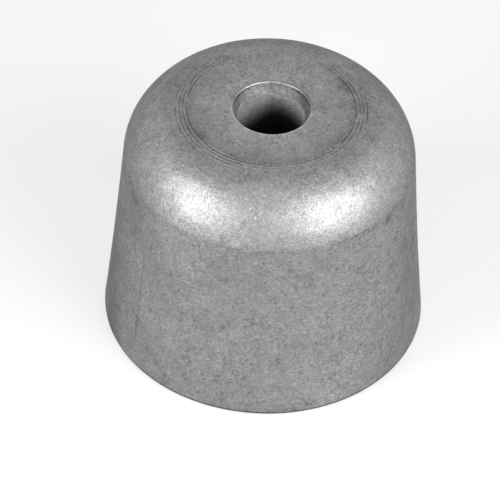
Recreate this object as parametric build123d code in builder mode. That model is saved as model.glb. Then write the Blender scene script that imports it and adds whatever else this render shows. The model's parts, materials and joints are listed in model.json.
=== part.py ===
"""Sacrificial cap anode, cast in zinc as one piece. All sizes are in millimetres.

The anode is a blunt cone with a rounded shoulder. One bolt goes down through its crown and holds it on
the end of a shaft or a housing, with the nut or boss that it covers standing inside the base pocket.

Frame: +Z points up along the bolt's axis, and the origin is the centre of the flat base.
"""

import os
from math import radians, sqrt, tan

from build123d import *

# Outer wall and shoulder
base_diameter = 64.0  # at the sharp corner, before the edge is rounded
overall_height = 52.0
wall_draft = 4.9  # degrees from upright, so that the casting leaves its mould
shoulder_radius = 12.4
base_edge_radius = 0.6

# Witness grooves where the shoulder begins
groove_count = 3
groove_offset = 0.17  # from the flat crown's edge out to the first groove
groove_pitch = 0.76
groove_depth = 0.14
groove_tool_radius = 0.2

# Bolt bore, countersunk at its mouth in the crown
bore_diameter = 12.7
mouth_reach = 1.3  # how far the countersink spreads beyond the bore, all round
mouth_angle = 60.0  # included angle of the countersink, in degrees
mouth_rim_radius = 0.2
mouth_throat_radius = 0.5
bore_exit_chamfer = 0.6

# Round pocket in the base
pocket_diameter = 42.0
pocket_depth = 32.0
pocket_roof_radius = 3.0
pocket_mouth_chamfer = 0.8

# Radii and depths that follow from the sizes above
base_radius = base_diameter / 2
top_corner_radius = base_radius - overall_height * tan(radians(wall_draft))
crown_radius = top_corner_radius - shoulder_radius * tan(radians(90 - wall_draft) / 2)
bore_radius = bore_diameter / 2
mouth_radius = bore_radius + mouth_reach
mouth_depth = mouth_reach / tan(radians(mouth_angle) / 2)
pocket_radius = pocket_diameter / 2


def ring(part, radius, height):
    """The round edges of a part that have this radius and lie at this height."""
    tolerance = 1e-4
    circles = part.edges().filter_by(GeomType.CIRCLE)
    level = circles.filter_by(lambda edge: abs(edge.arc_center.Z - height) < tolerance)
    return level.filter_by(lambda edge: abs(edge.radius - radius) < tolerance)


def top_height(radius):
    """Height of the outer surface at a radius on the crown or the shoulder."""
    beyond_crown = max(0.0, radius - crown_radius)
    return overall_height - shoulder_radius + sqrt(shoulder_radius**2 - beyond_crown**2)


with BuildPart() as anode:
    # Drafted outer wall, with the shoulder and the base edge rounded
    with BuildSketch(Plane.XZ):
        with BuildLine():
            Polyline(
                (0, 0),
                (base_radius, 0),
                (top_corner_radius, overall_height),
                (0, overall_height),
                close=True,
            )
        make_face()
    revolve(axis=Axis.Z)
    fillet(ring(anode, top_corner_radius, overall_height), shoulder_radius)
    fillet(ring(anode, base_radius, 0), base_edge_radius)

    # Witness grooves, cut by a round-nosed tool
    with BuildSketch(Plane.XZ):
        for index in range(groove_count):
            groove_radius = crown_radius + groove_offset + index * groove_pitch
            groove_floor = top_height(groove_radius) - groove_depth
            with Locations((groove_radius, groove_floor + groove_tool_radius)):
                Circle(groove_tool_radius)
    revolve(axis=Axis.Z, mode=Mode.SUBTRACT)

    # Pocket up from the base
    with BuildSketch(Plane.XY):
        Circle(pocket_radius)
    extrude(amount=pocket_depth, mode=Mode.SUBTRACT)
    fillet(ring(anode, pocket_radius, pocket_depth), pocket_roof_radius)
    chamfer(ring(anode, pocket_radius, 0), pocket_mouth_chamfer)

    # Countersunk bolt bore, down through the crown into the pocket
    with Locations(Plane.XY.offset(overall_height)):
        CounterSinkHole(bore_radius, mouth_radius, counter_sink_angle=mouth_angle)
    fillet(ring(anode, mouth_radius, overall_height), mouth_rim_radius)
    fillet(ring(anode, bore_radius, overall_height - mouth_depth), mouth_throat_radius)
    chamfer(ring(anode, bore_radius, pocket_depth), bore_exit_chamfer)

anode.part.label = "anode"

os.makedirs("parts", exist_ok=True)
export_step(anode.part, "parts/anode.step")
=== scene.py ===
"""Looks of the cast zinc cap anode: its surface as a fine mesh, its material, and a plain pale studio."""

import json
import math

import bpy
import numpy as np
from mathutils import Matrix, Vector, noise

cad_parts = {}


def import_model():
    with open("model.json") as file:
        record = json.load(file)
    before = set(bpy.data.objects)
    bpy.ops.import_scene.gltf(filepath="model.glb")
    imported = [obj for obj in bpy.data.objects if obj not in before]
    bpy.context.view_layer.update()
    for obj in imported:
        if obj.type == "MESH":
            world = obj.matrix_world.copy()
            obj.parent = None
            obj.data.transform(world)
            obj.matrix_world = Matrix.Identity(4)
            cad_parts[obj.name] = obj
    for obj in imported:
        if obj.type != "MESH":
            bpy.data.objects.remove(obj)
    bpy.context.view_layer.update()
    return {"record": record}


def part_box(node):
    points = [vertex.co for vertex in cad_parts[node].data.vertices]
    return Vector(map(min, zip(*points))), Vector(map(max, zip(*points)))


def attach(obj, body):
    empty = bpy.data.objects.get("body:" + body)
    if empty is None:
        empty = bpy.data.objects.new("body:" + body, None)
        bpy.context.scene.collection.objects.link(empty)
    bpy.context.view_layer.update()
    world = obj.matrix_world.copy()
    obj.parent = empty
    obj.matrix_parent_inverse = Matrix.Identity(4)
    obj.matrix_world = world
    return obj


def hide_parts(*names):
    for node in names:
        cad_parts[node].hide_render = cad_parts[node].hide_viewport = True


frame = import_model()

MM = 0.001

# ---------------------------------------------------------------- sizes, in millimetres

# The height and the radii of the bore and the pocket come from the frame, and most others repeat the part's
# own values. For looks, the mouth and the grooves differ a little from the part's, with one groove more.
mounts = {mount["name"]: mount for mount in frame["record"]["mounts"]}
node_low, node_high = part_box("anode")
OVERALL_HEIGHT = (node_high.z - node_low.z) / MM
BORE_RADIUS = mounts["bolt_bore"]["dims"]["r_mm"]
POCKET_RADIUS = mounts["nut_pocket"]["dims"]["r_mm"]
BASE_RADIUS = 32.0
WALL_DRAFT = math.radians(4.9)
SHOULDER_RADIUS = 12.4
BASE_EDGE_RADIUS = 0.6
MOUTH_REACH = 1.20
MOUTH_ANGLE = math.radians(60.0)
MOUTH_RIM_RADIUS = 0.30
MOUTH_THROAT_RADIUS = 0.5
BORE_EXIT_CHAMFER = 0.6
POCKET_DEPTH = 32.0
POCKET_ROOF_RADIUS = 3.0
POCKET_MOUTH_CHAMFER = 0.8
CHAMFER_EDGE_RADIUS = 0.1
GROOVE_COUNT = 4
GROOVE_OFFSET = 0.20
GROOVE_PITCH = 0.74
GROOVE_DEPTH = 0.14
GROOVE_TOOL_RADIUS = 0.22

# The crown was turned a little behind the casting's own axis. A point follows the crown's centre fully
# within the first radius, less and less outward, and not at all beyond the second, or below the bore.
CROWN_CENTRE = Vector((0.0, 0.38))
CENTRED_WITHIN = 10.0
CENTRED_NOT_BEYOND = 15.5
CENTRED_NOT_BELOW = POCKET_DEPTH - 0.1

TOP_CORNER_RADIUS = BASE_RADIUS - OVERALL_HEIGHT * math.tan(WALL_DRAFT)
CROWN_RADIUS = TOP_CORNER_RADIUS - SHOULDER_RADIUS * math.tan((math.pi / 2 - WALL_DRAFT) / 2)
WALL_TOP = OVERALL_HEIGHT - SHOULDER_RADIUS * (1 - math.sin(WALL_DRAFT))
MOUTH_RADIUS = BORE_RADIUS + MOUTH_REACH
MOUTH_DEPTH = MOUTH_REACH / math.tan(MOUTH_ANGLE / 2)
MOUTH_FLOOR = OVERALL_HEIGHT - MOUTH_DEPTH
GROOVE_RADII = [CROWN_RADIUS + GROOVE_OFFSET + index * GROOVE_PITCH for index in range(GROOVE_COUNT)]
GROOVED_ABOVE = OVERALL_HEIGHT - 1.0

# How uneven the casting is: the wall's waist, then the waves of its skin from slow to fine, each with its
# depth, its pace per millimetre and where its noise is read
WALL_WAIST = 0.16
WAVES = [
    (0.10, 0.045, Vector((3.1, 7.7, 1.3))),
    (0.05, 0.13, Vector((11.0, 2.0, 5.0))),
    (0.02, 0.42, Vector((5.0, 19.0, 8.0))),
]

# Where the grooves fade: each stretch is a bearing and the spread on either side of it, in degrees
GROOVE_GAP = (85, 40)
GROOVE_THIN = (-75, 40)
GROOVE_THIN_SHARE = 0.55
OUTER_THIN = (-80, 60)
OUTER_THIN_SHARE = 0.4
GROOVE_WANDER = 0.08
WANDER_PACE = 0.12
WANDER_LAYER = 40.0
WEAR_PACE = 0.35
WEAR_LAYER = 7.0
WEAR_LAYER_STEP = 5
WEAR_KEPT = 0.90
WEAR_SWING = 0.9
WEAR_PER_GROOVE = 0.13

# The mesh: segments round the axis, the step along the outline, and how far apart the rings lie
SEGMENTS = 360
OUTLINE_STEP = 0.02
RINGS_HIDDEN = 1.25
RINGS_OUTSIDE = 0.5
RINGS_WALL = 0.7
RINGS_CONE = 0.25
RINGS_FINE = 0.08
RINGS_CHAMFER = 0.3
RINGS_BASE_EDGE = 0.12

# How far each stretch of rings reaches past the feature that it serves, or stops short of it
CROWN_BAND = 1.4
BASE_BAND = 1.2
OUTSIDE_FROM = 1.5
POCKET_MARGIN = 2.0
MOUTH_MARGIN = 0.4
CONE_END = 0.3
GROOVE_MARGIN = 0.6
EXIT_BAND = 0.6
EXIT_MARGIN = 1.0
SHOULDER_MARGIN = 2.0


# ---------------------------------------------------------------- the casting's section and surface


def rounded(corners):
    """A closed outline through corners (r, z, radius), as points set close along its arcs and lines."""
    points = []
    count = len(corners)
    for index in range(count):
        before, corner, after = (np.array(corners[(index + step) % count][:2]) for step in (-1, 0, 1))
        radius = corners[index][2]
        inward = (before - corner) / np.linalg.norm(before - corner)
        onward = (after - corner) / np.linalg.norm(after - corner)
        half = math.acos(float(np.clip(inward @ onward, -1, 1))) / 2
        middle = (inward + onward) / np.linalg.norm(inward + onward)
        centre = corner + middle * radius / math.sin(half)
        start = corner + inward * radius / math.tan(half) - centre
        end = corner + onward * radius / math.tan(half) - centre
        turn = math.atan2(start[0] * end[1] - start[1] * end[0], start @ end)
        steps = max(2, int(abs(turn) * radius / OUTLINE_STEP))
        for angle in np.linspace(0, turn, steps + 1):
            swing = np.array([[math.cos(angle), -math.sin(angle)], [math.sin(angle), math.cos(angle)]])
            points.append(centre + swing @ start)
    dense = []
    for here, there in zip(points, points[1:] + points[:1]):
        steps = max(1, int(np.linalg.norm(there - here) / OUTLINE_STEP))
        dense.extend(here + (there - here) * share for share in np.arange(steps) / steps)
    return np.array(dense)


def section():
    """The casting's outline, from the pocket's mouth out along the base, up, over and down the bore."""
    return rounded(
        [
            (POCKET_RADIUS + POCKET_MOUTH_CHAMFER, 0, CHAMFER_EDGE_RADIUS),
            (BASE_RADIUS, 0, BASE_EDGE_RADIUS),
            (TOP_CORNER_RADIUS, OVERALL_HEIGHT, SHOULDER_RADIUS),
            (MOUTH_RADIUS, OVERALL_HEIGHT, MOUTH_RIM_RADIUS),
            (BORE_RADIUS, MOUTH_FLOOR, MOUTH_THROAT_RADIUS),
            (BORE_RADIUS, POCKET_DEPTH + BORE_EXIT_CHAMFER, CHAMFER_EDGE_RADIUS),
            (BORE_RADIUS + BORE_EXIT_CHAMFER, POCKET_DEPTH, CHAMFER_EDGE_RADIUS),
            (POCKET_RADIUS, POCKET_DEPTH, POCKET_ROOF_RADIUS),
            (POCKET_RADIUS, POCKET_MOUTH_CHAMFER, CHAMFER_EDGE_RADIUS),
        ]
    )


def spacing(radius, height):
    """How far apart, in millimetres, the rings of the mesh lie at a point of the section."""
    on_crown = height > OVERALL_HEIGHT - CROWN_BAND
    outside = on_crown or height > OUTSIDE_FROM and radius > POCKET_RADIUS + POCKET_MARGIN
    at_mouth = radius < MOUTH_RADIUS + MOUTH_MARGIN and height > MOUTH_FLOOR - MOUTH_MARGIN
    mid_cone = abs(height - OVERALL_HEIGHT + MOUTH_DEPTH / 2) < MOUTH_DEPTH / 2 - CONE_END
    grooved = on_crown and GROOVE_RADII[0] - GROOVE_MARGIN < radius < GROOVE_RADII[-1] + GROOVE_MARGIN
    at_exit = abs(height - POCKET_DEPTH - BORE_EXIT_CHAMFER / 2) < EXIT_BAND
    at_exit = at_exit and radius < BORE_RADIUS + EXIT_MARGIN
    at_base = height < BASE_BAND
    if at_base and radius > BASE_RADIUS - BASE_BAND:
        return RINGS_BASE_EDGE
    if at_base or at_exit:
        return RINGS_CHAMFER
    if grooved or at_mouth and not mid_cone:
        return RINGS_FINE
    if at_mouth:
        return RINGS_CONE
    if outside:
        return RINGS_WALL if height < WALL_TOP - SHOULDER_MARGIN else RINGS_OUTSIDE
    return RINGS_HIDDEN


def rings():
    """The points of the section that carry the mesh's rings, and the outward normal at each."""
    dense = section()
    ahead = np.roll(dense, -1, axis=0)
    behind = np.roll(dense, 1, axis=0)
    run = np.linalg.norm(ahead - dense, axis=1)
    wanted = np.array([1 / spacing(*point) for point in dense])
    reach = np.concatenate([[0], np.cumsum(run * wanted)])
    count = int(reach[-1])
    picks = np.searchsorted(reach, np.linspace(0, reach[-1], count, endpoint=False), side="right") - 1
    along = ahead - behind
    along /= np.linalg.norm(along, axis=1)[:, None]
    normals = np.stack([along[:, 1], -along[:, 0]], axis=1)
    return dense[picks], normals[picks]


def relief(point, normal):
    """How far, in millimetres, the cast skin lies under the true surface, from its waves and the waist."""
    depth = sum(deep * (1 + noise.noise(point * pace + start)) / 2 for deep, pace, start in WAVES)
    on_wall = point.z < WALL_TOP and normal.xy.dot(point.xy) > 0
    if on_wall:
        depth += WALL_WAIST * math.sin(math.pi * point.z / WALL_TOP)
    return depth


def near(bearing, middle, spread):
    """1 at the middle bearing, falling to 0 at the spread on either side of it, all in degrees."""
    return max(0.0, 1 - ((bearing - middle) / spread) ** 2)


def groove_depth(point):
    """Depth in millimetres of the round-nosed turned grooves, which are worn, and fade out at the back."""
    if point.z < GROOVED_ABOVE:
        return 0.0
    flat = point.xy - CROWN_CENTRE
    bearing = math.degrees(math.atan2(flat.y, flat.x))
    faded = near(bearing, *GROOVE_GAP) + GROOVE_THIN_SHARE * near(bearing, *GROOVE_THIN)
    wander = noise.noise(Vector((flat.x * WANDER_PACE, flat.y * WANDER_PACE, WANDER_LAYER)))
    deepest = 0.0
    for index, groove in enumerate(GROOVE_RADII):
        off = abs(flat.length - groove + GROOVE_WANDER * wander)
        if off < GROOVE_TOOL_RADIUS:
            layer = WEAR_LAYER + WEAR_LAYER_STEP * index
            worn = noise.noise(Vector((flat.x * WEAR_PACE, flat.y * WEAR_PACE, layer)))
            kept = min(1.0, max(0.0, WEAR_KEPT + WEAR_SWING * worn - WEAR_PER_GROOVE * index))
            in_front = OUTER_THIN_SHARE * max(0, index - 1) * near(bearing, *OUTER_THIN)
            share = (1 - min(1.0, faded + in_front)) * kept
            deepest = max(deepest, share * GROOVE_DEPTH * (1 - (off / GROOVE_TOOL_RADIUS) ** 2))
    return deepest


def centring(radius, height):
    """Share of the crown's own centre that a point follows: all at the bore, and none at the shoulder."""
    if height < CENTRED_NOT_BELOW:
        return 0.0
    return min(1.0, max(0.0, (CENTRED_NOT_BEYOND - radius) / (CENTRED_NOT_BEYOND - CENTRED_WITHIN)))


def casting():
    """The whole casting as one closed mesh, turned from its section and then roughened inward."""
    outline, normals = rings()
    vertices = []
    cuts = []
    for segment in range(SEGMENTS):
        turn = 2 * math.pi * segment / SEGMENTS
        cosine, sine = math.cos(turn), math.sin(turn)
        for (radius, height), (out, up) in zip(outline, normals):
            shift = CROWN_CENTRE * centring(radius, height)
            point = Vector((radius * cosine + shift.x, radius * sine + shift.y, height))
            normal = Vector((out * cosine, out * sine, up))
            cut = groove_depth(point)
            point -= normal * (relief(point, normal) + cut)
            vertices.append(point * MM)
            cuts.append(cut / GROOVE_DEPTH)
    count = len(outline)
    faces = []
    for segment in range(SEGMENTS):
        this = segment * count
        that = (segment + 1) % SEGMENTS * count
        for index in range(count):
            after = (index + 1) % count
            faces.append((this + index, that + index, that + after, this + after))
    mesh = bpy.data.meshes.new("anode_casting")
    mesh.from_pydata(vertices, [], faces)
    mesh.validate()
    mesh.update()
    mesh.polygons.foreach_set("use_smooth", [True] * len(mesh.polygons))
    mesh.attributes.new("groove", "FLOAT", "POINT").data.foreach_set("value", cuts)
    piece = bpy.data.objects.new("anode_casting", mesh)
    bpy.context.scene.collection.objects.link(piece)
    return piece


# ---------------------------------------------------------------- node graphs

# The value that noise swings about
NOISE_MIDDLE = 0.5

# A patch's ragged edge, in shares of its reach: the size of its noise, how far it swings, and the core
RAGGED_SIZE = 0.45
RAGGED_NOISE = (0.2, 0.8)
RAGGED_SWING = 0.6
BLOT_CORE = 0.2

# The smallest round spot, as a share of the largest
SMALLEST_SPOT = 0.5


class Graph:
    """Short calls that add nodes to a node tree and hand back their outputs."""

    def __init__(self, tree):
        self.tree = tree

    def join(self, value, socket):
        """Links a socket, or sets a plain value."""
        if isinstance(value, bpy.types.NodeSocket):
            self.tree.links.new(value, socket)
        else:
            socket.default_value = value

    def math(self, operation, first, second=0.0):
        """One sum, product or function of one or two values."""
        made = self.tree.nodes.new("ShaderNodeMath")
        made.operation = operation
        self.join(first, made.inputs[0])
        self.join(second, made.inputs[1])
        return made.outputs[0]

    def vector(self, operation, first, second):
        """One sum, product or distance of two vectors, as a node, since its outputs differ by operation."""
        made = self.tree.nodes.new("ShaderNodeVectorMath")
        made.operation = operation
        self.join(first, made.inputs[0])
        self.join(second, made.inputs[1])
        return made

    def product(self, *values):
        """All the values multiplied together."""
        total = values[0]
        for value in values[1:]:
            total = self.math("MULTIPLY", total, value)
        return total

    def parts(self, place):
        """The X, Y and Z of a vector."""
        made = self.tree.nodes.new("ShaderNodeSeparateXYZ")
        self.join(place, made.inputs["Vector"])
        return made.outputs

    def length(self, x, y):
        """The length of a flat vector."""
        return self.math("SQRT", self.math("ADD", self.product(x, x), self.product(y, y)))

    def object_place(self):
        """The place on the object, in metres."""
        return self.tree.nodes.new("ShaderNodeTexCoord").outputs["Object"]

    def line(self, value, start, end, low, high):
        """A straight change from low to high as the value goes from start to end, held at both ends."""
        made = self.tree.nodes.new("ShaderNodeMapRange")
        self.join(value, made.inputs["Value"])
        self.join(start, made.inputs["From Min"])
        self.join(end, made.inputs["From Max"])
        self.join(low, made.inputs["To Min"])
        self.join(high, made.inputs["To Max"])
        return made.outputs["Result"]

    def fade(self, value, start, end, low=0.0, high=1.0):
        """A smooth change from low to high as the value goes from start to end, held at both ends."""
        made = self.line(value, start, end, low, high)
        made.node.interpolation_type = "SMOOTHSTEP"
        return made

    def hump(self, value, rise, fall):
        """1 between two places: it rises over the first pair of values and falls over the second."""
        return self.product(self.fade(value, *rise), self.fade(value, *fall))

    def mix(self, share, low, high):
        """Low where the share is 0 and high where it is 1."""
        made = self.tree.nodes.new("ShaderNodeMix")
        made.data_type = "FLOAT"
        self.join(share, made.inputs["Factor"])
        self.join(low, made.inputs["A"])
        self.join(high, made.inputs["B"])
        return made.outputs["Result"]

    def tint(self, share, factor):
        """A factor to multiply a tone by: 1 where the share is 0, and the given factor where it is 1."""
        return self.mix(share, 1.0, factor)

    def cloud(self, place, size, detail=1.0, roughness=0.5, warp=0.0):
        """Soft noise between 0 and 1 whose patches are about the given size in millimetres."""
        made = self.tree.nodes.new("ShaderNodeTexNoise")
        self.join(place, made.inputs["Vector"])
        made.inputs["Scale"].default_value = 1 / size
        made.inputs["Detail"].default_value = detail
        made.inputs["Roughness"].default_value = roughness
        made.inputs["Distortion"].default_value = warp
        return made.outputs["Fac"]

    def off_middle(self, noise_value):
        """How far a noise value is from its middle, which is 0 along curling lines."""
        return self.math("ABSOLUTE", self.math("SUBTRACT", noise_value, NOISE_MIDDLE))

    def shade(self, noise_value, amount):
        """A factor about 1 that follows a noise value, by up to the given amount each way."""
        return self.line(noise_value, 0.0, 1.0, 1 - amount, 1 + amount)

    def moved(self, place, distance):
        """The same place, moved along X, for a second pattern that doesn't repeat the first."""
        return self.vector("ADD", place, (distance, 0, 0)).outputs["Vector"]

    def blot(self, place, middle, reach):
        """A ragged patch, 1 at its middle and 0 beyond its reach, in millimetres."""
        apart = self.vector("DISTANCE", place, middle).outputs["Value"]
        ragged = self.cloud(place, RAGGED_SIZE * reach, detail=3.0, roughness=0.65, warp=0.5)
        ragged = self.line(ragged, *RAGGED_NOISE, -RAGGED_SWING * reach, RAGGED_SWING * reach)
        return self.fade(self.math("ADD", apart, ragged), reach, BLOT_CORE * reach)

    def spots(self, place, pitch, radius, share):
        """Round spots, 1 at the middle and 0 outside, in the given share of cells a pitch apart."""
        made = self.tree.nodes.new("ShaderNodeTexVoronoi")
        self.join(place, made.inputs["Vector"])
        made.inputs["Scale"].default_value = 1 / pitch
        cell = self.tree.nodes.new("ShaderNodeSeparateColor")
        self.join(made.outputs["Color"], cell.inputs["Color"])
        chosen = self.math("LESS_THAN", cell.outputs["Red"], share)
        largest = radius / pitch
        size = self.line(cell.outputs["Green"], 0.0, 1.0, SMALLEST_SPOT * largest, largest)
        return self.product(chosen, self.fade(made.outputs["Distance"], size, 0.0))

    def background_share(self):
        """1 for the rays that see the background, which are camera, glossy and transmission rays."""
        path = self.tree.nodes.new("ShaderNodeLightPath")
        share = self.math("MAXIMUM", path.outputs["Is Camera Ray"], path.outputs["Is Glossy Ray"])
        return self.math("MAXIMUM", share, path.outputs["Is Transmission Ray"])


# ---------------------------------------------------------------- the zinc's looks

# Below, a SHADE multiplies the zinc's grey, and a pair is where a fade starts and where it ends. Places are
# in millimetres: x to the right, y to the back, height from the base, and radius from the crown's centre.

# The zones that several looks share: the crown, the countersink and the bore
CROWN_HEIGHT = (OVERALL_HEIGHT - 1.6, OVERALL_HEIGHT - 0.9)
WITHIN_RIM = (MOUTH_RADIUS - 0.03, MOUTH_RADIUS - 0.12)
ABOVE_BORE = (MOUTH_FLOOR - 0.2, MOUTH_FLOOR + 0.1)
BORE_WALL = (BORE_RADIUS + 0.6, BORE_RADIUS + 0.2)
BELOW_MOUTH = (MOUTH_FLOOR + 0.4, MOUTH_FLOOR - 0.2)

# How far each pattern is moved along X, so that it doesn't repeat another one
FLECK_SHIFT = 5.3
SPECK_SHIFT = 9.1
SPECKLE_PATCH_SHIFT = 17.0
HAIR_SHIFT = 31.0
HAIR_PATCH_SHIFT = 43.0

# The zinc's grey, and how far its bloom, mottling, grain and speckle take it to each side
BASE_TONE = 0.31
BLOOM = 0.22
BLOOM_SIZE = 11.0
MOTTLE = 0.22
MOTTLE_SIZE = 2.6
GRAIN = 0.36
GRAIN_SIZE = 0.7
SPECKLE = 0.45
SPECKLE_SIZE = 0.26
SPECKLE_PATCH_SIZE = 5.0
SPECKLE_PATCHES = (0.35, 0.65)
SPECKLE_LEAST = 0.4
SPECKLE_MOST = 1.6

# Small dark pits, rarer pale flecks and fine dark specks: their pitch, radius and share of places filled
PITS = (1.9, 0.34, 0.22)
PIT_SHADE = 0.60
FLECKS = (2.7, 0.3, 0.12)
FLECK_SHADE = 1.2
SPECKS = (0.8, 0.22, 0.25)
SPECK_SHADE = 0.62

# Curling hairlines of dirt, in patches
HAIR_SIZE = 1.5
HAIR_WIDTH = 0.035
HAIR_SHADE = 0.62
HAIR_PATCH_SIZE = 2.6
HAIR_PATCHES = (0.50, 0.60)

# The shoulder is cleaner and flatter than the rest
SHOULDER_RISE = (41.0, 43.5)
SHOULDER_FALL = (51.6, 50.4)
SHOULDER_CLEAN = 0.5
SHOULDER_FLAT = 0.76

# Painted shade darkens the wall's front, and a broken painted dark reflection marks where wall and shoulder
# meet
WALL_HEIGHT = (WALL_TOP + 1.2, WALL_TOP - 0.6)
WALL_FRONT = (-15.0, -25.0)
WALL_SHADE = 0.88
TANGENT_RISE = (WALL_TOP - 1.6, WALL_TOP - 0.1)
TANGENT_FALL = (WALL_TOP + 1.3, WALL_TOP + 0.3)
TANGENT_SHADE = 0.95
TANGENT_LINE_HEIGHT = WALL_TOP + 0.2
TANGENT_LINE_WIDTH = (0.25, 0.05)
TANGENT_LINE_PATCH_SIZE = 4.0
TANGENT_LINE_PATCHES = (0.45, 0.60)
TANGENT_LINE_SHADE = 0.78

# The crown darkens outward, most of all in a broken band just inside the grooves, which leaves out the back
CROWN_INNER = 8.5
CROWN_OUTER = 16.0
CROWN_INNER_TONE = 1.12
CROWN_OUTER_TONE = 0.93
BAND_RISE = (14.6, 16.0)
BAND_FALL = (16.9, 16.4)
BAND_BACK = (11.0, 5.0)
BAND_SKEW = 0.35
BAND_DARKENING = 0.22
SMUDGE_SIZE = 1.0
SMUDGE_PATCHES = (0.36, 0.60)
SMUDGE_LEAST = 0.1

# Stains and paler patches, broken up by noise: the middle of each, its reach and shade
STAIN_BREAK_SIZE = 0.7
STAIN_BREAKS = (0.36, 0.56)
STAIN_LEAST = 0.25
STAINS = [
    (Vector((-13.2, -8.4, OVERALL_HEIGHT)), 1.7, 0.60),
    (Vector((13.9, 7.4, OVERALL_HEIGHT)), 2.3, 0.62),
    (Vector((-2.9, -13.3, OVERALL_HEIGHT)), 1.6, 0.78),
    (Vector((13.6, 2.2, OVERALL_HEIGHT)), 1.5, 0.80),
    (Vector((13.4, -7.5, OVERALL_HEIGHT)), 1.8, 0.78),
    (Vector((5.9, 6.9, OVERALL_HEIGHT)), 0.8, 0.72),
    (Vector((23.2, -16.7, 39.7)), 1.3, 0.45),
    (Vector((-25.6, -12.9, 39.0)), 2.2, 0.66),
    (Vector((0.2, 6.6, 48.6)), 0.7, 0.6),
    # The last five are broad patches that make the wall paler or darker
    (Vector((-4.0, -30.2, 26.0)), 11.0, 1.13),
    (Vector((-5.0, -31.0, 14.0)), 9.0, 1.12),
    (Vector((16.0, -26.5, 10.0)), 9.0, 1.13),
    (Vector((26.5, -16.0, 4.0)), 10.0, 0.86),
    (Vector((-25.5, -15.0, 36.5)), 10.0, 0.88),
]

# A faint upright draw mark left by the mould, at a bearing from the axis
DRAW_MARK_BEARING = math.radians(-143.0)
DRAW_MARK_WIDTH = (0.55, 0.1)
DRAW_MARK_FOOT = (3.0, 9.0)
DRAW_MARK_HEAD = (29.0, 22.0)
DRAW_MARK_SIDE = (-15.0, -18.0)
DRAW_MARK_SHADE = 0.80

# A dark line just outside the mouth's rim at the back, painted shade along the bottom edge and painted
# shade down the left side
RIM_LINE = MOUTH_RADIUS + 0.35
RIM_LINE_RISE = (RIM_LINE - 0.15, RIM_LINE)
RIM_LINE_FALL = (RIM_LINE + 0.18, RIM_LINE)
RIM_LINE_BACK = (-2.0, 3.0)
RIM_LINE_SHADE = 0.70
EDGE_HEIGHT = (1.0, 0.4)
EDGE_SHADE = 0.28
LEFT_SIDE = (-27.5, -30.0)
LEFT_HEIGHT = (34.0, 28.0)
LEFT_SHADE = 0.80

# Grime in the grooves, and the brighter lips on either side of it
GROOVE_SHADE = 0.58
LIP_RISE = (0.0, 0.2)
LIP_FALL = (0.5, 0.25)
LIP_SHADE = 1.22

# The countersink is mottled, and painted shade makes it darker at the back, most of all near its rim there,
# and at both sides
CONE_MOTTLE_SIZE = 0.8
CONE_MOTTLE = (0.25, 0.75)
CONE_DARKEST = 0.75
CONE_PALEST = 1.2
CONE_LOWER = (OVERALL_HEIGHT - 0.7, OVERALL_HEIGHT - 1.6)
FAR_SIDE = (1.0, 5.0)
FAR_UPPER = 0.54
FAR_LOWER = 0.78
RIGHT_SIDE = (1.0, 4.0)
FAR_RIGHT = 0.72
NEAR_LEFT_SIDE = (-5.5, -7.0)
NEAR_LEFT = 0.76
UNDER_RIM_RISE = (OVERALL_HEIGHT - 0.2, OVERALL_HEIGHT - 0.35)
UNDER_RIM_FALL = (OVERALL_HEIGHT - 0.75, OVERALL_HEIGHT - 0.5)
UNDER_RIM_SIDES = (2.5, 4.5)
UNDER_RIM_BACK = (0.0, 2.0)
UNDER_RIM_SHADE = 0.62

# Painted shade darkens the bore with depth, and painted light reaches deeper down on the left and a little
# on the right
BORE_LIGHT = 1.2
BORE_DARK = 8.3
BORE_TONE = 1.24
BORE_DARKEST = 0.03
LIT_LEFT = (1.0, -4.0)
LIT_LEFT_DEPTH = 2.5
LIT_RIGHT = (2.0, 5.5)
LIT_RIGHT_DEPTH = 0.6

# The mouth's rim is worn bright in front, partly a painted highlight, and painted shade dims it at the back
# right
RIM_WEAR_AND_SHEEN_RISE = (MOUTH_RADIUS - 0.08, MOUTH_RADIUS - 0.02)
RIM_WEAR_AND_SHEEN_FALL = (MOUTH_RADIUS + 0.46, MOUTH_RADIUS + 0.22)
RIM_WEAR_AND_SHEEN_FRONT = (3.0, -1.0)
RIM_WEAR_AND_SHEEN_SHADE = 1.35
RIM_DIM_RISE = (MOUTH_RADIUS - 0.3, MOUTH_RADIUS - 0.1)
RIM_DIM_FALL = (MOUTH_RADIUS + 0.4, MOUTH_RADIUS + 0.2)
RIM_DIM_RIGHT = (0.5, 3.5)
RIM_DIM_BACK = (0.0, 2.0)
RIM_DIM_SHADE = 0.76

# Roughness: satin with duller patches, even on the rim, and dull in the mouth and in the oxidised bore
SATIN_ROUGHNESS_LEAST = 0.39
SATIN_ROUGHNESS_MOST = 0.53
SATIN_PATCH_SIZE = 3.4
RIM_EVEN_RISE = (MOUTH_RADIUS - 0.12, MOUTH_RADIUS - 0.05)
RIM_EVEN_FALL = (MOUTH_RADIUS + 0.3, MOUTH_RADIUS + 0.15)
RIM_ROUGHNESS = 0.46
MOUTH_ROUGHNESS = 0.6
BORE_ROUGHNESS = 0.72

# How metallic the oxidised bore is, and the grey of the metal's reflections at a glancing angle
BORE_METAL = 0.0
EDGE_TINT = 0.40

# The as-cast grain: the size of each pattern and how far it stands up or is sunk
FINEST_SIZE = 0.32
FINEST_BUMP = 0.017
FINE_SIZE = 0.8
FINE_BUMP = 0.027
COARSE_SIZE = 2.4
COARSE_BUMP = 0.035
PIT_DEPTH = 0.03
WRINKLE_FLAT = 2.2
WRINKLE_SIZE = 1.4
WRINKLE_WARP = 0.6
WRINKLE_WIDTH = 0.06
WRINKLE_DEPTH = 0.020


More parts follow.
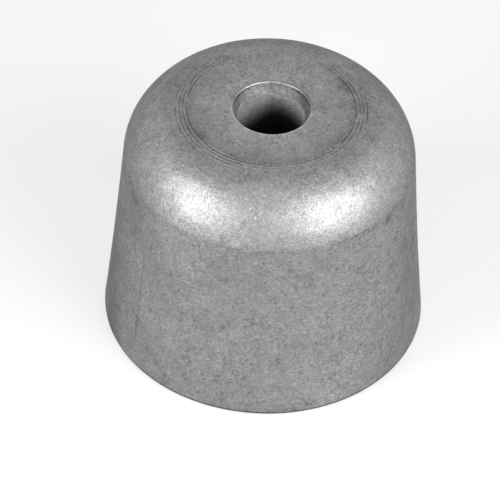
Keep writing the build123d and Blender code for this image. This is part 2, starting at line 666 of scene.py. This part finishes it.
class Surface(Graph):
    """The casting's node graph, with the places and zones that more than one of its parts needs."""

    def __init__(self, tree):
        super().__init__(tree)
        metres = self.object_place()
        scaled = tree.nodes.new("ShaderNodeVectorMath")
        scaled.operation = "SCALE"
        scaled.inputs["Scale"].default_value = 1 / MM
        self.join(metres, scaled.inputs[0])
        self.place = scaled.outputs[0]
        self.x, self.y, self.height = self.parts(self.place)
        across = self.math("SUBTRACT", self.x, CROWN_CENTRE.x)
        along = self.math("SUBTRACT", self.y, CROWN_CENTRE.y)
        self.radius = self.length(across, along)
        self.pits = self.spots(self.place, *PITS)
        self.shoulder = self.hump(self.height, SHOULDER_RISE, SHOULDER_FALL)
        self.on_top = self.fade(self.height, *CROWN_HEIGHT)
        within_rim = self.fade(self.radius, *WITHIN_RIM)
        self.in_mouth = self.product(within_rim, self.fade(self.height, *ABOVE_BORE))
        at_bore_wall = self.fade(self.radius, *BORE_WALL)
        self.in_bore = self.product(at_bore_wall, self.fade(self.height, *BELOW_MOUTH))


def skin(graph):
    """Patches of bloom, mottling, grain and patchy speckle, from broad to fine."""
    place = graph.place
    bloom = graph.shade(graph.cloud(place, BLOOM_SIZE, detail=2.0), BLOOM)
    mottle = graph.shade(graph.cloud(place, MOTTLE_SIZE, detail=2.0, roughness=0.55, warp=0.4), MOTTLE)
    grain = graph.shade(graph.cloud(place, GRAIN_SIZE, roughness=0.6), GRAIN)
    patchy = graph.cloud(graph.moved(place, SPECKLE_PATCH_SHIFT), SPECKLE_PATCH_SIZE)
    patchy = graph.line(patchy, *SPECKLE_PATCHES, SPECKLE_LEAST, SPECKLE_MOST)
    speckle = graph.math("SUBTRACT", graph.cloud(place, SPECKLE_SIZE, roughness=0.6), NOISE_MIDDLE)
    speckle = graph.math("ADD", 1.0, graph.product(speckle, patchy, 2 * SPECKLE))
    return graph.product(bloom, mottle, grain, speckle)


def marks(graph):
    """Small pits, flecks, specks and hairlines of dirt, fewer on the shoulder."""
    place = graph.place
    flecks = graph.spots(graph.moved(place, FLECK_SHIFT), *FLECKS)
    specks = graph.spots(graph.moved(place, SPECK_SHIFT), *SPECKS)
    curl = graph.cloud(graph.moved(place, HAIR_SHIFT), HAIR_SIZE, detail=2.0, roughness=0.55, warp=0.7)
    hair = graph.fade(graph.off_middle(curl), HAIR_WIDTH, 0.0)
    patches = graph.cloud(graph.moved(place, HAIR_PATCH_SHIFT), HAIR_PATCH_SIZE)
    hair = graph.product(hair, graph.fade(patches, *HAIR_PATCHES))
    dirt = graph.product(
        graph.tint(graph.pits, PIT_SHADE),
        graph.tint(flecks, FLECK_SHADE),
        graph.tint(specks, SPECK_SHADE),
        graph.tint(hair, HAIR_SHADE),
    )
    return graph.mix(graph.product(graph.shoulder, SHOULDER_CLEAN), dirt, 1.0)


def wall_shading(graph):
    """The wall's front, painted a shade darker than the shoulder, and a painted dark reflection where the
    two meet.
    """
    height = graph.height
    on_wall = graph.product(graph.fade(height, *WALL_HEIGHT), graph.fade(graph.y, *WALL_FRONT))
    tangent = graph.hump(height, TANGENT_RISE, TANGENT_FALL)
    off_line = graph.math("ABSOLUTE", graph.math("SUBTRACT", height, TANGENT_LINE_HEIGHT))
    broken = graph.fade(graph.cloud(graph.place, TANGENT_LINE_PATCH_SIZE), *TANGENT_LINE_PATCHES)
    line = graph.product(graph.fade(off_line, *TANGENT_LINE_WIDTH), broken)
    return graph.product(
        graph.tint(on_wall, WALL_SHADE),
        graph.tint(tangent, TANGENT_SHADE),
        graph.tint(line, TANGENT_LINE_SHADE),
    )


def crown_shading(graph):
    """The crown, which darkens outward, with a smudged band inside the grooves."""
    outward = graph.line(graph.radius, CROWN_INNER, CROWN_OUTER, CROWN_INNER_TONE, CROWN_OUTER_TONE)
    band = graph.hump(graph.radius, BAND_RISE, BAND_FALL)
    rear = graph.fade(graph.math("SUBTRACT", graph.y, graph.product(graph.x, BAND_SKEW)), *BAND_BACK)
    smudge = graph.cloud(graph.place, SMUDGE_SIZE, detail=3.0, roughness=0.65, warp=0.6)
    smudge = graph.fade(smudge, *SMUDGE_PATCHES)
    dark = graph.product(band, rear, graph.line(smudge, 0.0, 1.0, SMUDGE_LEAST, 1.0), BAND_DARKENING)
    return graph.tint(graph.on_top, graph.product(outward, graph.math("SUBTRACT", 1.0, dark)))


def stains(graph):
    """The stains and paler patches, all broken up by the same fine noise."""
    broken = graph.cloud(graph.place, STAIN_BREAK_SIZE, detail=3.0, roughness=0.7, warp=1.0)
    broken = graph.fade(broken, *STAIN_BREAKS, STAIN_LEAST, 1.0)
    tints = []
    for middle, reach, shade in STAINS:
        tints.append(graph.tint(graph.product(broken, graph.blot(graph.place, middle, reach)), shade))
    return graph.product(*tints)


def draw_mark(graph):
    """A faint upright line down the wall, in the plane through the axis at the mark's bearing."""
    across = graph.product(graph.x, -math.sin(DRAW_MARK_BEARING))
    along = graph.product(graph.y, math.cos(DRAW_MARK_BEARING))
    off_plane = graph.math("ABSOLUTE", graph.math("ADD", across, along))
    upright = graph.hump(graph.height, DRAW_MARK_FOOT, DRAW_MARK_HEAD)
    one_side = graph.fade(graph.x, *DRAW_MARK_SIDE)
    mark = graph.product(graph.fade(off_plane, *DRAW_MARK_WIDTH), upright, one_side)
    return graph.tint(mark, DRAW_MARK_SHADE)


def edge_grime_and_shade(graph):
    """The dark line outside the mouth's rim, and painted shade along the bottom edge and down the left
    side.
    """
    ring = graph.hump(graph.radius, RIM_LINE_RISE, RIM_LINE_FALL)
    ring = graph.product(ring, graph.on_top, graph.fade(graph.y, *RIM_LINE_BACK))
    edge = graph.fade(graph.height, *EDGE_HEIGHT)
    left = graph.product(graph.fade(graph.x, *LEFT_SIDE), graph.fade(graph.height, *LEFT_HEIGHT))
    return graph.product(
        graph.tint(ring, RIM_LINE_SHADE),
        graph.tint(edge, EDGE_SHADE),
        graph.tint(left, LEFT_SHADE),
    )


def groove_grime(graph):
    """Grime in the grooves and bright lips beside it, both read from how deep the mesh is cut."""
    groove = graph.tree.nodes.new("ShaderNodeAttribute")
    groove.attribute_name = "groove"
    depth_share = groove.outputs["Fac"]
    lip = graph.hump(depth_share, LIP_RISE, LIP_FALL)
    return graph.product(graph.tint(depth_share, GROOVE_SHADE), graph.tint(lip, LIP_SHADE))


def mouth_shading(graph):
    """The countersink's mottling, and painted shade on its back and sides and in a line under the rim at
    the back.
    """
    mottle = graph.cloud(graph.place, CONE_MOTTLE_SIZE, detail=2.0, roughness=0.6)
    mottle = graph.line(mottle, *CONE_MOTTLE, CONE_DARKEST, CONE_PALEST)
    far_tone = graph.mix(graph.fade(graph.height, *CONE_LOWER), FAR_UPPER, FAR_LOWER)
    far = graph.tint(graph.fade(graph.y, *FAR_SIDE), far_tone)
    right = graph.fade(graph.x, *RIGHT_SIDE, 1.0, FAR_RIGHT)
    left = graph.fade(graph.x, *NEAR_LEFT_SIDE, 1.0, NEAR_LEFT)
    under_rim = graph.hump(graph.height, UNDER_RIM_RISE, UNDER_RIM_FALL)
    sideways = graph.fade(graph.math("ABSOLUTE", graph.x), *UNDER_RIM_SIDES)
    line = graph.product(under_rim, sideways, graph.fade(graph.y, *UNDER_RIM_BACK))
    line = graph.tint(line, UNDER_RIM_SHADE)
    return graph.tint(graph.in_mouth, graph.product(mottle, far, right, left, line))


def bore_shading(graph):
    """The bore's wall, painted dark with depth, sooner in the middle than at the two sides, where painted
    light reaches deeper.
    """
    depth = graph.math("SUBTRACT", OVERALL_HEIGHT, graph.height)
    depth = graph.math("SUBTRACT", depth, graph.fade(graph.x, *LIT_LEFT, 0.0, LIT_LEFT_DEPTH))
    depth = graph.math("SUBTRACT", depth, graph.fade(graph.x, *LIT_RIGHT, 0.0, LIT_RIGHT_DEPTH))
    return graph.tint(graph.in_bore, graph.fade(depth, BORE_DARK, BORE_LIGHT, BORE_DARKEST, BORE_TONE))


def rim_wear_and_sheen(graph):
    """The mouth's rim, worn bright in front and partly a painted highlight there, and dimmed at the back
    right by painted shade.
    """
    # The brightening in front is partly wear and partly a painted highlight
    worn = graph.hump(graph.radius, RIM_WEAR_AND_SHEEN_RISE, RIM_WEAR_AND_SHEEN_FALL)
    worn = graph.product(worn, graph.fade(graph.y, *RIM_WEAR_AND_SHEEN_FRONT))
    # Painted shade that dims the rim's glint at the back right
    dimmed = graph.hump(graph.radius, RIM_DIM_RISE, RIM_DIM_FALL)
    on_right = graph.fade(graph.x, *RIM_DIM_RIGHT)
    dimmed = graph.product(dimmed, on_right, graph.fade(graph.y, *RIM_DIM_BACK))
    return graph.product(graph.tint(worn, RIM_WEAR_AND_SHEEN_SHADE), graph.tint(dimmed, RIM_DIM_SHADE))


def roughness(graph):
    """Satin with duller patches, even on the mouth's rim, and dull inside."""
    patches = graph.cloud(graph.place, SATIN_PATCH_SIZE, detail=2.0)
    satin = graph.line(patches, 0.0, 1.0, SATIN_ROUGHNESS_LEAST, SATIN_ROUGHNESS_MOST)
    rim = graph.hump(graph.radius, RIM_EVEN_RISE, RIM_EVEN_FALL)
    outside = graph.mix(rim, satin, RIM_ROUGHNESS)
    return graph.mix(graph.in_bore, graph.mix(graph.in_mouth, outside, MOUTH_ROUGHNESS), BORE_ROUGHNESS)


def grain_normal(graph):
    """The as-cast grain, its creases and its pits, as a bump a few hundredths of a millimetre high."""
    place = graph.place
    finest = graph.cloud(place, FINEST_SIZE)
    fine = graph.cloud(place, FINE_SIZE, detail=2.0, roughness=0.6)
    coarse = graph.cloud(place, COARSE_SIZE)
    flattened = graph.vector("MULTIPLY", place, (1.0, 1.0, WRINKLE_FLAT)).outputs["Vector"]
    wrinkles = graph.cloud(flattened, WRINKLE_SIZE, detail=2.0, roughness=0.55, warp=WRINKLE_WARP)
    crease = graph.fade(graph.off_middle(wrinkles), 0.0, WRINKLE_WIDTH)
    stands = graph.math("ADD", graph.product(fine, FINE_BUMP), graph.product(coarse, COARSE_BUMP))
    stands = graph.math("ADD", stands, graph.product(finest, FINEST_BUMP))
    stands = graph.math("ADD", stands, graph.product(crease, WRINKLE_DEPTH))
    stands = graph.math("SUBTRACT", stands, graph.product(graph.pits, PIT_DEPTH))
    stands = graph.product(stands, graph.tint(graph.shoulder, SHOULDER_FLAT))
    bump = graph.tree.nodes.new("ShaderNodeBump")
    bump.inputs["Distance"].default_value = MM
    bump.inputs["Strength"].default_value = 1.0
    graph.join(stands, bump.inputs["Height"])
    return bump.outputs["Normal"]


def cast_zinc():
    """Mid grey cast zinc, satin and fine grained, with small pits, and painted shade that darkens its mouth
    and bore.
    """
    material = bpy.data.materials.new("cast_zinc")
    material.use_nodes = True
    graph = Surface(material.node_tree)
    shader = material.node_tree.nodes["Principled BSDF"]
    tone = graph.product(
        BASE_TONE,
        skin(graph),
        marks(graph),
        wall_shading(graph),
        crown_shading(graph),
        stains(graph),
        draw_mark(graph),
        edge_grime_and_shade(graph),
        groove_grime(graph),
        mouth_shading(graph),
        bore_shading(graph),
        rim_wear_and_sheen(graph),
    )
    colour = material.node_tree.nodes.new("ShaderNodeCombineColor")
    for channel in ("Red", "Green", "Blue"):
        graph.join(tone, colour.inputs[channel])
    graph.join(colour.outputs["Color"], shader.inputs["Base Color"])
    graph.join(roughness(graph), shader.inputs["Roughness"])
    graph.join(graph.mix(graph.in_bore, 1.0, BORE_METAL), shader.inputs["Metallic"])
    graph.join(grain_normal(graph), shader.inputs["Normal"])
    shader.inputs["Specular Tint"].default_value = (EDGE_TINT, EDGE_TINT, EDGE_TINT, 1)
    return material


# ---------------------------------------------------------------- studio

# The surround's strength where it is seen, at the horizon and overhead, and where it only lights
HORIZON = 1.0
ZENITH = 0.62
FILL = 0.25

# The floor, in metres: its own grey, and how much it is lifted where it is seen. The lift sets in under the
# casting, out of sight, and grows from near to far.
FLOOR_SIZE = 6.0
FLOOR_TONE = 0.45
FLOOR_ROUGHNESS = 0.9
FLOOR_SHEEN = 0.1
FLOOR_LIFT = 0.56
FLOOR_LIFT_FAR = 0.82
LIFT_EDGE = (POCKET_RADIUS * MM, (BASE_RADIUS - 2) * MM)
LIFT_NEAR_DISTANCE = 0.08
LIFT_FAR_DISTANCE = 0.6

# How far the lamps stand from the object, in metres
LAMP_DISTANCE = 0.45

# The camera: the point it looks at and its distance in millimetres, and its angles in degrees
CAMERA_AIM = Vector((-3.03, 0.0, 13.96))
CAMERA_DISTANCE = 741.2
CAMERA_ELEVATION = 44.04
CAMERA_ROLL = 2.32
CAMERA_LENS = 267.6
CAMERA_SENSOR = 36.0
CAMERA_CLIP_START = 0.01


def world():
    """A pale surround, white at the horizon and greyer overhead, and dimmer where it only lights."""
    made = bpy.data.worlds.new("studio")
    bpy.context.scene.world = made
    made.use_nodes = True
    graph = Graph(made.node_tree)
    background = made.node_tree.nodes["Background"]
    background.inputs["Color"].default_value = (1, 1, 1, 1)
    direction = made.node_tree.nodes.new("ShaderNodeTexCoord").outputs["Generated"]
    _, _, up = graph.parts(direction)
    seen = graph.line(graph.math("ARCSINE", up), 0.0, math.pi / 2, HORIZON, ZENITH)
    graph.join(graph.mix(graph.background_share(), FILL, seen), background.inputs["Strength"])


def floor():
    """A plain pale floor, lifted to white where it is seen, that keeps the object's shadow."""
    half = FLOOR_SIZE / 2
    corners = [(-half, -half, 0), (half, -half, 0), (half, half, 0), (-half, half, 0)]
    mesh = bpy.data.meshes.new("floor")
    mesh.from_pydata(corners, [], [(0, 1, 2, 3)])
    ground = bpy.data.objects.new("floor", mesh)
    bpy.context.scene.collection.objects.link(ground)
    material = bpy.data.materials.new("floor")
    material.use_nodes = True
    graph = Graph(material.node_tree)
    shader = material.node_tree.nodes["Principled BSDF"]
    shader.inputs["Base Color"].default_value = (FLOOR_TONE, FLOOR_TONE, FLOOR_TONE, 1)
    shader.inputs["Roughness"].default_value = FLOOR_ROUGHNESS
    shader.inputs["Specular IOR Level"].default_value = FLOOR_SHEEN
    shader.inputs["Emission Color"].default_value = (1, 1, 1, 1)
    x, y, _ = graph.parts(graph.object_place())
    away = graph.length(x, y)
    outside = graph.fade(away, *LIFT_EDGE)
    lift = graph.fade(away, LIFT_NEAR_DISTANCE, LIFT_FAR_DISTANCE, FLOOR_LIFT, FLOOR_LIFT_FAR)
    strength = graph.product(graph.background_share(), outside, lift)
    graph.join(strength, shader.inputs["Emission Strength"])
    mesh.materials.append(material)


def softbox(name, azimuth, elevation, breadth, height, radiance, roll=0.0):
    """A soft lamp that faces the object, with its place, breadth, height and roll all in degrees."""
    aim = Vector((0, 0, OVERALL_HEIGHT / 2 * MM))
    bearing, rise = math.radians(azimuth), math.radians(elevation)
    level = math.cos(rise)
    towards = Vector((math.cos(bearing) * level, math.sin(bearing) * level, math.sin(rise)))
    light = bpy.data.lights.new(name, "AREA")
    light.shape = "RECTANGLE"
    light.size = 2 * LAMP_DISTANCE * math.tan(math.radians(breadth / 2))
    light.size_y = 2 * LAMP_DISTANCE * math.tan(math.radians(height / 2))
    light.energy = radiance * light.size * light.size_y * math.pi
    lamp = bpy.data.objects.new(name, light)
    lamp.location = aim + towards * LAMP_DISTANCE
    turned = towards.to_track_quat("Z", "Y").to_matrix() @ Matrix.Rotation(math.radians(roll), 3, "Z")
    lamp.rotation_euler = turned.to_euler()
    lamp.visible_camera = False
    bpy.context.scene.collection.objects.link(lamp)


def camera():
    """The camera, from its aim point, its elevation, its roll and its distance, in front of the object."""
    elevation = math.radians(CAMERA_ELEVATION)
    roll = math.radians(CAMERA_ROLL)
    back = Vector((0, -math.cos(elevation), math.sin(elevation)))
    right = Vector((1, 0, 0))
    up = back.cross(right)
    turned_right = right * math.cos(roll) + up * math.sin(roll)
    turned_up = up * math.cos(roll) - right * math.sin(roll)
    data = bpy.data.cameras.new("camera")
    data.sensor_width = CAMERA_SENSOR
    data.lens = CAMERA_LENS
    data.clip_start = CAMERA_CLIP_START
    made = bpy.data.objects.new("camera", data)
    place = Matrix((turned_right, turned_up, back)).transposed().to_4x4()
    place.translation = CAMERA_AIM * MM + back * (CAMERA_DISTANCE * MM)
    made.matrix_world = place
    bpy.context.scene.collection.objects.link(made)
    bpy.context.scene.camera = made


camera()
body = casting()
body.data.materials.append(cast_zinc())
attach(body, "root")
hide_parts("anode")
floor()
world()
softbox("left_box", azimuth=-145, elevation=26, breadth=18, height=44, radiance=9.7, roll=34)
softbox("right_box", azimuth=-40, elevation=28, breadth=45, height=48, radiance=4.5)
softbox("top_box", azimuth=-100, elevation=80, breadth=26, height=26, radiance=0.8)
bpy.context.scene.view_settings.view_transform = "Standard"
